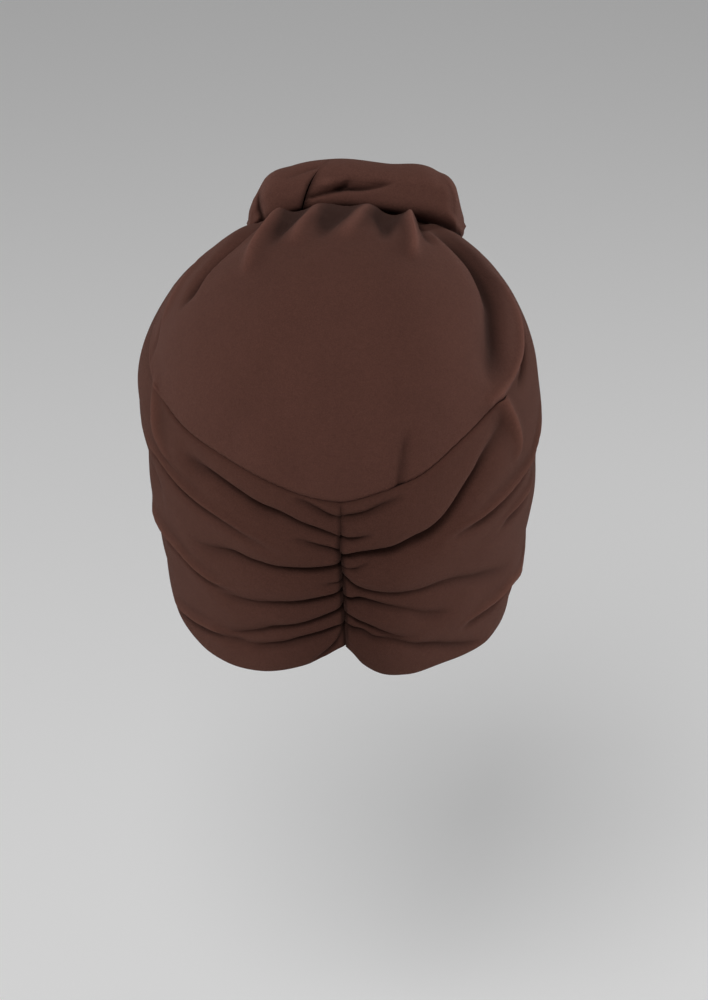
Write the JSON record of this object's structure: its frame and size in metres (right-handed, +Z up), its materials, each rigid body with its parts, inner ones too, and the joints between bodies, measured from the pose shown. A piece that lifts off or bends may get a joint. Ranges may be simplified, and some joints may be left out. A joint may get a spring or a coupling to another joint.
{
  "type": "turban hat",
  "caption": "Soft ready-tied turban hat with a pleated crown, a draped band gathered at the centre back and a padded knot on top of the forehead.",
  "frame": {"origin": "inner side of the top of the crown, where the top of the wearer's head touches it", "axes": "+Z up when worn, -Y the way the wearer faces, with the knot, and +X the wearer's left"},
  "size_m": [0.183, 0.2039, 0.2007],
  "materials": {
    "crown_jersey": "matte dark brown jersey",
    "band_jersey": "matte dark brown jersey, gathered",
    "knot_jersey": "matte dark brown jersey, padded"
  },
  "bodies": {
    "root": {"crown_panel": "crown_jersey", "band_left": "band_jersey", "band_right": "band_jersey", "knot_left": "knot_jersey", "knot_right": "knot_jersey"}
  },
  "joints": []
}
